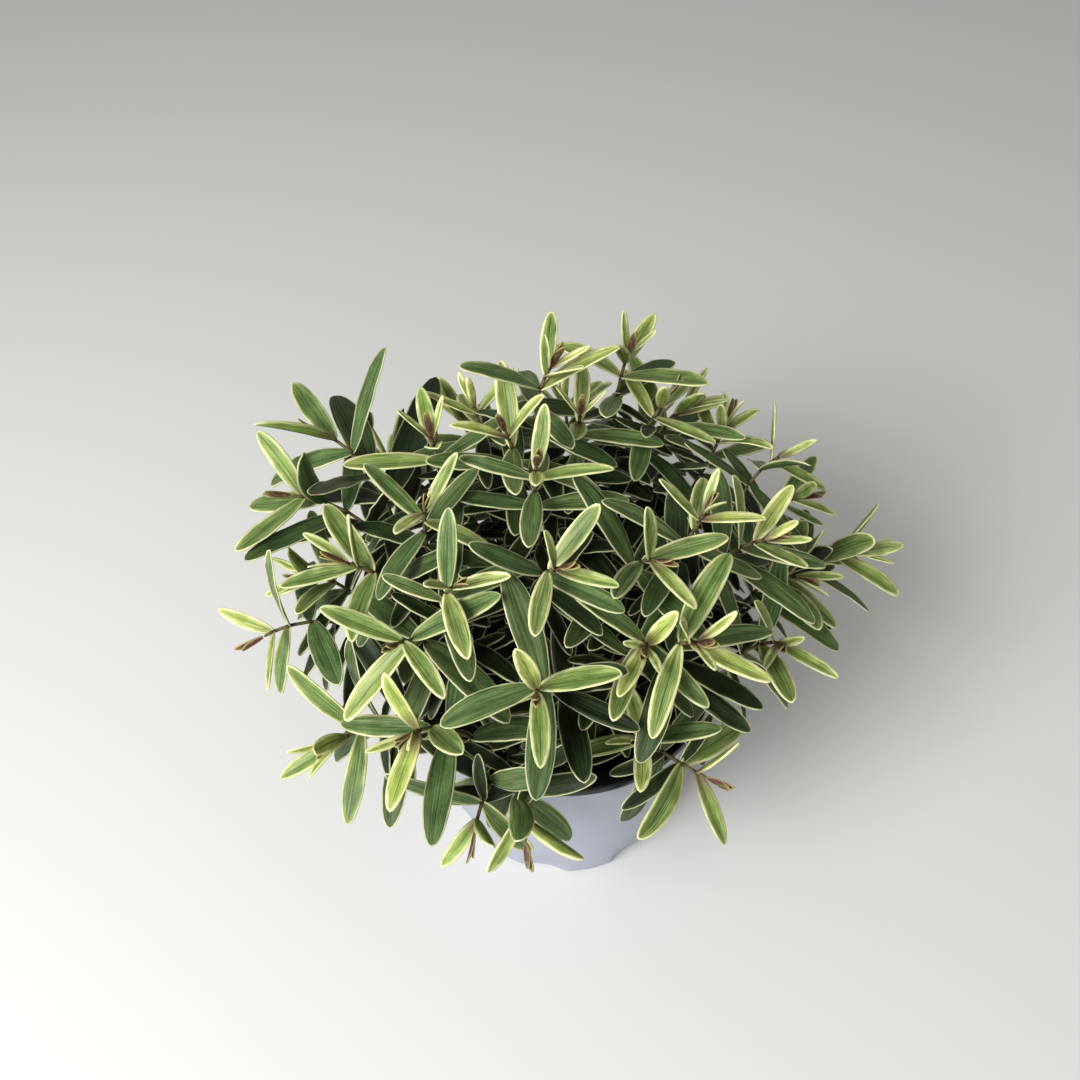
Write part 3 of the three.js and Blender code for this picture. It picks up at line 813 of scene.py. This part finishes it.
def makeLeafyStem(nodeName, plan):
    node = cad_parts[nodeName]
    number = nodeName[-2:]
    blades = finishBlades([leafOnBlade(b) for b in plan["blades"]], "blades_" + number)
    wear(blades, foliage["top"], foliage["under"])
    buds = finishBlades([leaf for b in plan["buds"] for leaf in leavesOfBud(b)], "buds_" + number)
    wear(buds, foliage["bud"], foliage["bud"])
    stem = makeStem(node, plan, "stem_" + number)
    wear(stem, foliage["bark"])
    whole = joined([blades, buds, stem], "leafyStem_" + number)
    pick(whole)
    bpy.ops.object.shade_smooth()
    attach(whole, "root")
    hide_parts(nodeName)
    return len(plan["blades"]), len(plan["buds"])


stemNames = sorted(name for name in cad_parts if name.startswith("leafy_stem"))
plans = {name: readStem(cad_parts[name]) for name in stemNames}
framed = [blade for plan in plans.values() for blade in plan["blades"]]
taken = widened(set().union(*(leafCells(blade) for blade in framed)))
taken |= set().union(*(roomCells(shoot["places"]) for plan in plans.values() for shoot in plan["shoots"]))
for plan in plans.values():
    growInner(plan, taken)
counts = [makeLeafyStem(name, plan) for name, plan in plans.items()]
for leaf in leaves.values():
    bpy.data.objects.remove(leaf)
leafCount, budCount = (sum(column) for column in zip(*counts))
print("leafy stems:", len(counts), "leaves:", leafCount, "buds:", budCount)
print("leaves that the frame has:", len(framed))


# The pot

potForm = {
    "rimRadius": 65 * mm, "height": 98 * mm, "flange": 7 * mm, "lipDrop": 4.6 * mm,
    "wall": 1.2 * mm, "footRadius": 54 * mm, "footBevel": 3 * mm,
    "flutes": 8, "fluteTurn": 33.75, "fluteDepth": 2.8 * mm, "fluteTop": 13 * mm,
    "drains": 6, "drainRadius": 3.5 * mm, "drainRing": 33 * mm,
    "steps": 160,
}


def spun(name, outline, steps):
    # A closed solid of revolution about Z, from points of radius and height.
    mesh = bpy.data.meshes.new(name)
    mesh.from_pydata([(r, 0, z) for r, z in outline], [(i, i + 1) for i in range(len(outline) - 1)], [])
    piece = bpy.data.objects.new(name, mesh)
    bpy.context.collection.objects.link(piece)
    pick(piece)
    bpy.ops.object.mode_set(mode="EDIT")
    bpy.ops.mesh.select_all(action="SELECT")
    bpy.ops.mesh.spin(steps=steps, angle=2 * math.pi, center=(0, 0, 0), axis=(0, 0, 1))
    bpy.ops.mesh.select_all(action="SELECT")
    bpy.ops.mesh.remove_doubles(threshold=0.01 * mm)
    bpy.ops.mesh.normals_make_consistent(inside=False)
    bpy.ops.object.mode_set(mode="OBJECT")
    return piece


def arc(centreRadius, centreHeight, size, start, end, steps=5):
    turns = [math.radians(start + (end - start) * i / steps) for i in range(steps + 1)]
    return [(centreRadius + size * math.cos(t), centreHeight + size * math.sin(t)) for t in turns]


def potOutline():
    form = potForm
    top, wall, rim = form["height"], form["wall"], form["rimRadius"]
    foot, bevel = form["footRadius"], form["footBevel"]
    inner = rim - form["flange"]
    lip = top - form["lipDrop"]
    slope = (inner + wall - foot) / top
    walls = [k * form["fluteTop"] / 6 for k in range(2, 7)] + [top * k / 8 for k in range(2, 8)]
    outer = [(foot + slope * z, z) for z in walls]
    outside = [(0, 0), (20 * mm, 0), (foot - bevel - 8 * mm, 0)]
    outside += arc(foot - bevel, bevel, bevel, -90, 0)
    outside += outer + [(inner + wall, top - wall - 0.8 * mm), (inner + wall + 0.8 * mm, top - wall)]
    outside += [(rim - wall - 0.6 * mm, top - wall), (rim - wall, top - wall - 0.6 * mm)]
    outside += [(rim - wall, lip + 0.3 * mm)]
    outside += arc(rim - wall / 2, lip + wall / 2, wall / 2, 180, 360)
    outside += arc(rim - 1.0 * mm, top - 1.0 * mm, 1.0 * mm, 0, 90)
    outside += arc(inner + 1.0 * mm, top - 1.0 * mm, 1.0 * mm, 90, 180)
    inside = [(r - wall, z) for r, z in reversed(outer)]
    inside += arc(foot - bevel, bevel + wall, bevel - wall, 0, -90) + [(20 * mm, wall), (0, wall)]
    return outside + inside


def fluteInset(angle, height):
    form = potForm
    across = max(0.0, math.cos(form["flutes"] * (angle - math.radians(form["fluteTurn"])))) ** 0.8
    down = max(0.0, 1 - height / form["fluteTop"])
    return form["fluteDepth"] * across * min(1.0, 2 * down)


def pressFlutes(pot):
    points = readPoints(pot.data)
    for point in points:
        radius = math.hypot(point[0], point[1])
        if radius > potForm["drainRing"] + 2 * potForm["drainRadius"]:
            point[:2] *= 1 - fluteInset(math.atan2(point[1], point[0]), point[2]) / radius
    writePoints(pot.data, points)


def cutDrains(pot):
    form = potForm
    cutters = []
    for i in range(form["drains"]):
        angle = 2 * math.pi * i / form["drains"]
        bpy.ops.object.select_all(action="DESELECT")
        bpy.ops.mesh.primitive_cylinder_add(
            vertices=28, radius=form["drainRadius"], depth=6 * mm,
            location=(form["drainRing"] * math.cos(angle), form["drainRing"] * math.sin(angle), 0))
        cutters.append(added("drainCutter"))
    cutter = joined(cutters, "drainCutter")
    applyModifier(pot, "BOOLEAN", operation="DIFFERENCE", object=cutter, solver="EXACT")
    bpy.data.objects.remove(cutter)


def potSkin():
    made = Material("potSkin", Roughness=0.5, Specular_IOR_Level=0.4)
    tree = made.tree
    grain = placeGroup(tree, speckle, Coarse=28.0, Fine=1400.0, Blend=0.35)
    made.link("Base Color", mixColours(tree, grain["Value"], rgb(165, 169, 183), rgb(187, 191, 203)))
    made.link("Roughness", ramp(tree, grain["Coarse Value"], 0.3, 0.7, 0.42, 0.56))
    bump = made.node("ShaderNodeBump", {"Height": grain["Value"], "Strength": 0.12, "Distance": 0.0004})
    made.link("Normal", bump.outputs[0])
    return made.material


def potLining():
    made = Material("potLining", Roughness=0.38, Specular_IOR_Level=0.4)
    tree = made.tree
    grain = placeGroup(tree, speckle, Coarse=45.0, Fine=1600.0, Blend=0.3)
    made.link("Base Color", mixColours(tree, grain["Value"], rgb(16, 16, 18), rgb(34, 34, 38)))
    made.link("Roughness", ramp(tree, grain["Coarse Value"], 0.3, 0.7, 0.3, 0.48))
    bump = made.node("ShaderNodeBump", {"Height": grain["Value"], "Strength": 0.15, "Distance": 0.0003})
    made.link("Normal", bump.outputs[0])
    return made.material


def dressPot(pot):
    form = potForm
    wear(pot, potSkin(), potLining())
    for face in pot.data.polygons:
        radius = math.hypot(face.center.x, face.center.y)
        inward = face.normal.x * face.center.x + face.normal.y * face.center.y < 0
        high = face.center.z > form["height"] - form["lipDrop"] - 0.2 * mm
        onRim = high and radius > form["rimRadius"] - form["flange"] - 1.5 * mm
        floorInside = face.center.z < 6 * mm and face.normal.z > 0.3 and radius < form["footRadius"] - 2 * mm
        lining = onRim or floorInside or (inward and face.center.z > form["wall"] * 1.02)
        face.material_index = 1 if lining else 0


def makePot():
    pot = spun("pot_shell", potOutline(), potForm["steps"])
    pressFlutes(pot)
    cutDrains(pot)
    dressPot(pot)
    pick(pot)
    bpy.ops.object.shade_smooth_by_angle(angle=math.radians(40))
    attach(pot, "root")
    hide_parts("pot")


makePot()
print("pot made")


# The soil

soilForm = {
    "clearance": 0.3 * mm, "footSlack": 2 * mm,
    "top": 83 * mm, "crown": 3 * mm, "brim": 4 * mm,
    "holeDepth": 22 * mm, "holeRadius": 2.05 * mm,
    "steps": 144, "ringStep": 1.6 * mm,
    "rough": 0.9 * mm,        # how far the peat's surface rises and falls
    "crumbs": 420, "chips": 60, "bits": 34,
    "seed": 7,
}


def soilHeight(radius):
    # The top's height without its roughness.
    form = soilForm
    edge = soilTopRadius() - form["brim"]
    share = min(1.0, radius / edge)
    return form["top"] + form["crown"] * (1 - share)


def potRadius(height):
    form = potForm
    inner = form["rimRadius"] - form["flange"]
    return form["footRadius"] + (inner + form["wall"] - form["footRadius"]) * height / form["height"]


def soilTopRadius():
    return potRadius(soilForm["top"]) - potForm["wall"] - soilForm["clearance"]


def peat():
    made = Material("peat", Roughness=0.92, Specular_IOR_Level=0.2)
    tree = made.tree
    grain = placeGroup(tree, speckle, Coarse=220.0, Fine=1900.0, Blend=0.5)
    made.link("Base Color", mixColours(tree, grain["Value"], rgb(18, 14, 12), rgb(58, 46, 37)))
    bump = made.node("ShaderNodeBump", {"Height": grain["Value"], "Strength": 0.9, "Distance": 0.0012})
    made.link("Normal", bump.outputs[0])
    return made.material


def paleBits():
    made = Material("paleBits", Roughness=0.85, Specular_IOR_Level=0.3)
    tree = made.tree
    grain = placeGroup(tree, speckle, Coarse=400.0, Fine=2500.0, Blend=0.5)
    made.link("Base Color", mixColours(tree, grain["Value"], rgb(150, 144, 132), rgb(222, 218, 208)))
    bump = made.node("ShaderNodeBump", {"Height": grain["Value"], "Strength": 0.6, "Distance": 0.0004})
    made.link("Normal", bump.outputs[0])
    return made.material


def barkChips():
    made = Material("barkChips", Roughness=0.85, Specular_IOR_Level=0.25)
    tree = made.tree
    grain = placeGroup(tree, speckle, Coarse=300.0, Fine=2200.0, Blend=0.5)
    made.link("Base Color", mixColours(tree, grain["Value"], rgb(52, 34, 24), rgb(104, 72, 48)))
    bump = made.node("ShaderNodeBump", {"Height": grain["Value"], "Strength": 0.7, "Distance": 0.0005})
    made.link("Normal", bump.outputs[0])
    return made.material


def soilOutline():
    form = soilForm
    gap = potForm["wall"] + form["clearance"]
    bevel, top = potForm["footBevel"], form["top"]
    outline = [(0, gap), (25 * mm, gap), (potForm["footRadius"] - bevel - 1 * mm - form["footSlack"], gap)]
    flute = potForm["fluteTop"]
    outline += [(potRadius(flute / 2) - gap - form["footSlack"], flute / 2)]
    outline += [(potRadius(flute) - gap - form["footSlack"] / 2, flute)]
    outline += [(potRadius(z) - gap, z) for z in (30 * mm, 50 * mm, 70 * mm, top - 1 * mm)]
    radius = soilTopRadius() - form["brim"]
    rings = int(radius / form["ringStep"])
    outline += [(radius * k / rings, soilHeight(radius * k / rings)) for k in range(rings, -1, -1)]
    return outline


def roughen(soil):
    points = readPoints(soil.data)
    for point in points:
        if point[2] > soilForm["top"] - 0.5 * mm:
            coarse = noise.noise(Vector(point) * 140)
            fine = noise.noise(Vector(point) * 480)
            point[2] += soilForm["rough"] * (0.8 * coarse + 0.4 * fine)
    writePoints(soil.data, points)


def stemHoles():
    # The middle of each stem's hole, from where its node stands lowest.
    holes = []
    for name in stemNames:
        points = readPoints(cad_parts[name].data)
        low = points[points[:, 2] < points[:, 2].min() + 0.5 * mm]
        holes.append(low.mean(axis=0))
    return holes


def cutHoles(soil, holes):
    form = soilForm
    cutters = []
    for x, y, _ in holes:
        bottom = form["top"] - form["holeDepth"]
        bpy.ops.object.select_all(action="DESELECT")
        bpy.ops.mesh.primitive_cylinder_add(
            vertices=16, radius=form["holeRadius"], depth=2 * form["holeDepth"],
            location=(x, y, bottom + form["holeDepth"]))
        cutters.append(added("holeCutter"))
    cutter = joined(cutters, "holeCutter")
    applyModifier(soil, "BOOLEAN", operation="DIFFERENCE", object=cutter, solver="EXACT")
    bpy.data.objects.remove(cutter)


def crumbModels(draws):
    models = []
    for i in range(4):
        bpy.ops.object.select_all(action="DESELECT")
        bpy.ops.mesh.primitive_ico_sphere_add(subdivisions=1, radius=1, location=(0, 0, 0))
        model = added("crumbModel")
        points = readPoints(model.data)
        points *= np.array([[draws.uniform(0.7, 1.25)] for _ in points])
        writePoints(model.data, points)
        models.append(model)
    return models


def scatter(models, count, sizes, stretch, holes, draws, material, name):
    made = []
    edge = soilTopRadius() - soilForm["brim"]
    while len(made) < count:
        radius = edge * math.sqrt(draws.random())
        angle = draws.uniform(0, 2 * math.pi)
        size = draws.uniform(*sizes)
        spot = Vector((radius * math.cos(angle), radius * math.sin(angle), soilHeight(radius)))
        clear = min((Vector(h).xy - spot.xy).length for h in holes)
        if clear < soilForm["holeRadius"] + size * stretch + 0.3 * mm:
            continue
        model = draws.choice(models)
        piece = model.copy()
        piece.data = model.data.copy()
        bpy.context.collection.objects.link(piece)
        spin = Matrix.Rotation(draws.uniform(0, 2 * math.pi), 4, "Z")
        tip = Matrix.Rotation(draws.uniform(-0.4, 0.4), 4, "X")
        shape = Matrix.Diagonal((size * stretch, size, size * 0.8, 1))
        place = Matrix.Translation(spot + Vector((0, 0, size * 0.25)))
        piece.data.transform(place @ spin @ tip @ shape)
        wear(piece, material)
        made.append(piece)
    return joined(made, name)


def makeSoil():
    form = soilForm
    draws = random.Random(form["seed"])
    noise.seed_set(form["seed"])
    holes = stemHoles()
    soil = spun("soil_plug", soilOutline(), form["steps"])
    roughen(soil)
    cutHoles(soil, holes)
    dark = peat()
    wear(soil, dark)
    models = crumbModels(draws)
    crumbs = scatter(models, form["crumbs"], (0.4 * mm, 1.3 * mm), 1.2, holes, draws, dark, "crumbs")
    chips = scatter(models, form["chips"], (0.3 * mm, 0.7 * mm), 3.4, holes, draws, barkChips(), "chips")
    bits = scatter(models, form["bits"], (0.5 * mm, 1.1 * mm), 1.1, holes, draws, paleBits(), "bits")
    for model in models:
        bpy.data.objects.remove(model)
    pick(soil)
    bpy.ops.object.shade_smooth_by_angle(angle=math.radians(50))
    litter = joined([crumbs, chips, bits], "soil_litter")
    for piece in (soil, litter):
        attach(piece, "root")
    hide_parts("soil")


makeSoil()
print("soil made")


# Camera, floor and light

studio = {
    "cameraPlace": (-10 * mm, -278 * mm, 484 * mm),
    "tilt": 42.0,             # degrees up from straight down
    "roll": -0.8,
    "lens": 36.0,
    "sensor": 36.0,
    "floorSize": 6.0,
    "floor": rgb(224, 224, 221),
    "sky": 0.34,
}


def makeCamera():
    data = bpy.data.cameras.new("camera")
    data.lens = studio["lens"]
    data.sensor_width = studio["sensor"]
    camera = bpy.data.objects.new("camera", data)
    bpy.context.collection.objects.link(camera)
    tilt = Matrix.Rotation(math.radians(studio["tilt"]), 4, "X")
    roll = Matrix.Rotation(math.radians(studio["roll"]), 4, "Z")
    camera.matrix_world = Matrix.Translation(studio["cameraPlace"]) @ tilt @ roll
    bpy.context.scene.camera = camera


def makeFloor():
    bpy.ops.object.select_all(action="DESELECT")
    bpy.ops.mesh.primitive_plane_add(size=studio["floorSize"], location=(0, 0, 0))
    floor = added("floor")
    made = Material("floor", Base_Color=studio["floor"], Roughness=0.85)
    wear(floor, made.material)


def areaLight(name, place, size, power):
    data = bpy.data.lights.new(name, "AREA")
    data.size = size
    data.energy = power
    light = bpy.data.objects.new(name, data)
    bpy.context.collection.objects.link(light)
    light.location = place
    light.rotation_euler = (Vector((0, 0, 0.12)) - Vector(place)).to_track_quat("-Z", "Y").to_euler()


def makeLights():
    areaLight("key", (-0.66, -0.66, 0.92), 0.6, 14.0)
    areaLight("fill", (0.3, -1.2, 0.6), 1.2, 2.0)
    world = bpy.data.worlds.new("studio")
    world.use_nodes = True
    world.node_tree.nodes["Background"].inputs[0].default_value = (0.98, 0.98, 0.97, 1)
    world.node_tree.nodes["Background"].inputs[1].default_value = studio["sky"]
    bpy.context.scene.world = world


makeCamera()
makeFloor()
makeLights()
bpy.context.scene.view_settings.view_transform = "Standard"
bpy.context.scene.view_settings.look = "Medium High Contrast"
print("studio ready")
